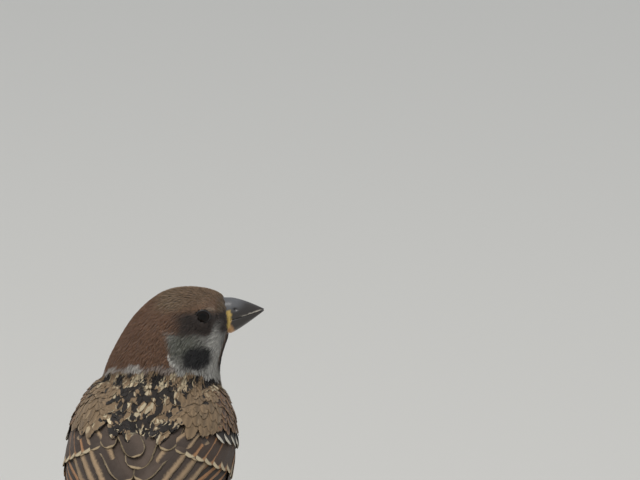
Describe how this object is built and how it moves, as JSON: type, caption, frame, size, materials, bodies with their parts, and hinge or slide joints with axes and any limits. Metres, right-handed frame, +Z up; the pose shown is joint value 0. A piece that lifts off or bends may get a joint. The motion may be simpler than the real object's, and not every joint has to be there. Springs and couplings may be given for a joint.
{
  "type": "eurasian tree sparrow",
  "caption": "Young tree sparrow, life size, standing on both feet with wings folded and looking back over its right shoulder.",
  "frame": {"origin": "on the floor, under the middle of the whole bird's bounding box", "axes": "+Z up, the bird stands facing -Y with its right side at -X"},
  "size_m": [0.0536, 0.121, 0.0939],
  "materials": {
    "head_plumage": "small dense feathers, chestnut crown, pale cheek with a dark ear patch",
    "collar_plumage": "soft grey-white feathers",
    "body_plumage": "soft feathers, black and buff streaks on the back, dull grey-buff below",
    "wing_plumage": "smooth vanes, dark centres with buff and rufous edges",
    "flight_feathers": "smooth stiff vanes, dull satin",
    "bill_horn": "dark horn, satin, yellow at the gape",
    "eye": "wet gloss",
    "leg_scales": "fine scales, satin",
    "claw": "satin horn"
  },
  "bodies": {
    "root": {"head": "head_plumage", "neck": "collar_plumage", "trunk": "body_plumage", "tail": "flight_feathers", "bill_upper": "bill_horn", "bill_lower": "bill_horn", "eye_left": "eye", "eye_right": "eye", "wing_left_coverts": "wing_plumage", "wing_left_inner_quills": "wing_plumage", "wing_left_outer_quills": "flight_feathers", "shank_left": "body_plumage", "tarsus_left": "leg_scales", "toe_left_inner": "leg_scales", "claw_left_inner": "claw", "toe_left_middle": "leg_scales", "claw_left_middle": "claw", "toe_left_outer": "leg_scales", "claw_left_outer": "claw", "toe_left_hind": "leg_scales", "claw_left_hind": "claw", "wing_right_coverts": "wing_plumage", "wing_right_inner_quills": "wing_plumage", "wing_right_outer_quills": "flight_feathers", "shank_right": "body_plumage", "tarsus_right": "leg_scales", "toe_right_inner": "leg_scales", "claw_right_inner": "claw", "toe_right_middle": "leg_scales", "claw_right_middle": "claw", "toe_right_outer": "leg_scales", "claw_right_outer": "claw", "toe_right_hind": "leg_scales", "claw_right_hind": "claw"}
  },
  "joints": []
}
